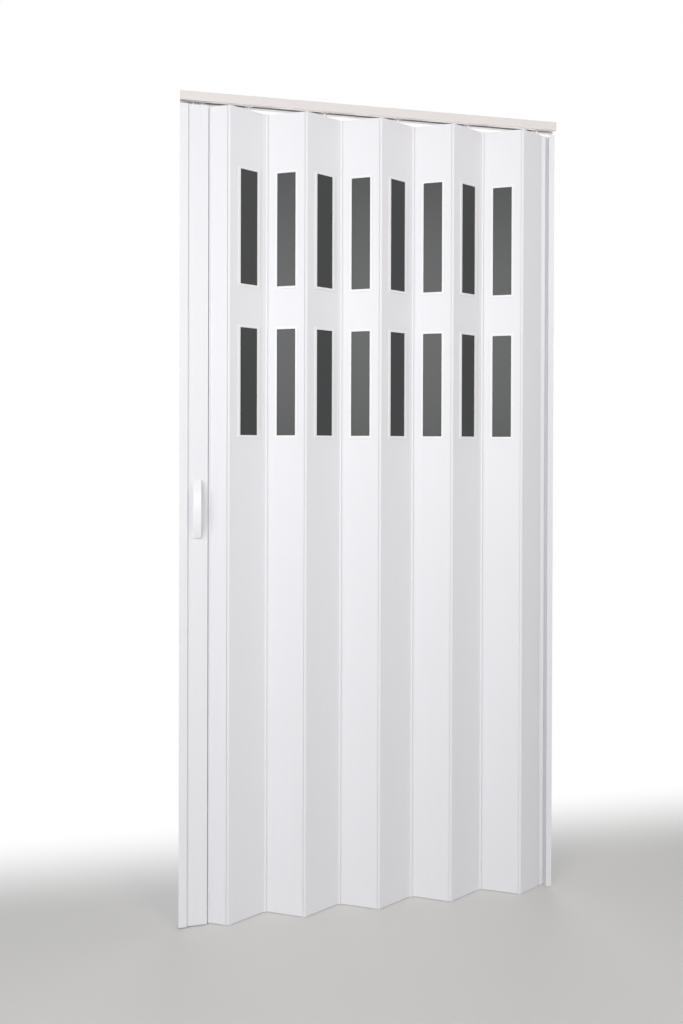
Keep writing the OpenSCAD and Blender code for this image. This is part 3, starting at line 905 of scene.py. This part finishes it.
class DOOR_OT_stage(bpy.types.Operator):
    """Floor, lamps, background and camera"""

    bl_idname = "door.stage"
    bl_label = "Stage"

    def floor(self, colours):
        """Pale round floor that fades into the white background."""
        focus()
        bpy.ops.mesh.primitive_circle_add(vertices=96, radius=4.5, fill_type="NGON",
                                          location=(0, 0, SLAT_FOOT - FLOOR_GAP))
        floor = named("floor")
        finish = Finish("floor")
        flat = finish.node("Mapping", sockets={"Vector": finish.place, "Scale": (1, 1, 0)})
        reach = finish.node("VectorMath", {"operation": "LENGTH"}, {0: flat}, output="Value")
        behind = finish.node("SeparateXYZ", sockets={0: flat}, output="Y")
        outwards, backwards = (
            finish.node("MapRange", {"interpolation_type": "SMOOTHSTEP"},
                        {"Value": value, "From Min": near, "From Max": far})
            for value, near, far in ((reach, 1.3, 2.6), (behind, 0.1, 0.55)))
        fade = finish.node("Math", {"operation": "MAXIMUM"}, {0: outwards, 1: backwards})
        mottle = finish.noise(3)
        finish.coat({"Base Color": finish.between(mottle, darker(colours.floor, 0.98), colours.floor),
                     "Roughness": 0.75 + 0.05 * mottle}, mottle, MM, 0.02)
        lit = Signal(finish.tree, finish.shader.outputs[0])
        white = finish.node("Emission", sockets={"Color": (1, 1, 1), "Strength": 1.0})
        mixed = finish.node("MixShader", sockets={0: fade * finish.seen(), 1: lit, 2: white})
        finish.fill(finish.tree.nodes["Material Output"], {"Surface": mixed})
        floor.data.materials.append(finish.block)
        lay(floor, floor.matrix_world.copy())

    def lamp(self, name, place, aim, size, power, tint=(1, 1, 1)):
        """Soft box from its place towards its aim."""
        bpy.ops.object.light_add(type="AREA", location=place)
        lamp = bpy.context.object
        lamp.name = name
        lamp.rotation_euler = (Vector(aim) - Vector(place)).to_track_quat("-Z", "Y").to_euler()
        lamp.data.shape = "RECTANGLE"
        lamp.data.size, lamp.data.size_y = size
        lamp.data.energy, lamp.data.color = power, tint

    def background(self, ambient):
        """White where the camera, gloss or glass sees it, and a plain even light elsewhere."""
        studio = Shading(bpy.data.worlds.new("studio"))
        seen = studio.seen()
        tint = studio.between(seen, (0.93, 0.95, 1), (1, 1, 1))
        studio.fill(studio.tree.nodes["Background"],
                    {"Color": tint, "Strength": ambient + (1 - ambient) * seen})
        bpy.context.scene.world = studio.block

    def camera(self, place, turn):
        """The photograph's viewpoint, at the post's side of the door."""
        camera = bpy.data.cameras.new("camera")
        camera.lens, camera.sensor_width, camera.shift_y = 28.16, 36, -0.055
        viewer = bpy.data.objects.new("camera", camera)
        bpy.context.scene.collection.objects.link(viewer)
        viewer.location, viewer.rotation_euler = place, turn
        bpy.context.scene.camera = viewer

    def execute(self, context):
        self.floor(context.scene.door_colours)
        self.background(0.36)
        self.lamp("key", (-1.75, -2.8, -0.1), (0, 0, -1.1), (3.4, 1.8), 70)
        self.lamp("upper", (1.1, -2.4, 0.3), (0.2, 0, -0.6), (1.2, 0.8), 16, (1, 0.94, 0.87))
        self.lamp("rear", (0.9, 3.0, -1.2), (0, 0, -1.0), (2.6, 1.2), 40)
        self.camera((-0.4664, -1.992, -0.8723), (math.pi / 2 - 0.005, -0.0029, -0.1891))
        context.scene.view_settings.view_transform = "Standard"
        return {"FINISHED"}


STEPS = (DOOR_OT_stage, DOOR_OT_finishes, DOOR_OT_rail, DOOR_OT_side_channels, DOOR_OT_lead_post,
         DOOR_OT_handles, DOOR_OT_slats, DOOR_OT_outer_slats, DOOR_OT_window_frames)


class DOOR_PT_panel(bpy.types.Panel):
    """Sizes, colours and steps of the accordion door"""

    bl_idname = "DOOR_PT_panel"
    bl_label = "Accordion Door"
    bl_space_type = "VIEW_3D"
    bl_region_type = "UI"
    bl_category = "Accordion Door"

    def draw(self, context):
        for title, group in (("Sizes", context.scene.door_sizes), ("Colours", context.scene.door_colours)):
            box = self.layout.box()
            box.label(text=title)
            for name in group.bl_rna.properties.keys():
                if name not in ("rna_type", "name"):
                    box.prop(group, name)
        for step in STEPS:
            self.layout.operator(step.bl_idname)


CLASSES = (DoorSizes, DoorColours, *STEPS, DOOR_PT_panel)


def register():
    for item in CLASSES:
        bpy.utils.register_class(item)
    bpy.types.Scene.door_sizes = bpy.props.PointerProperty(type=DoorSizes)
    bpy.types.Scene.door_colours = bpy.props.PointerProperty(type=DoorColours)


def unregister():
    del bpy.types.Scene.door_colours
    del bpy.types.Scene.door_sizes
    for item in reversed(CLASSES):
        bpy.utils.unregister_class(item)


def main():
    register()
    for step in STEPS:
        group, name = step.bl_idname.split(".")
        getattr(getattr(bpy.ops, group), name)()


if __name__ == "__main__":
    main()
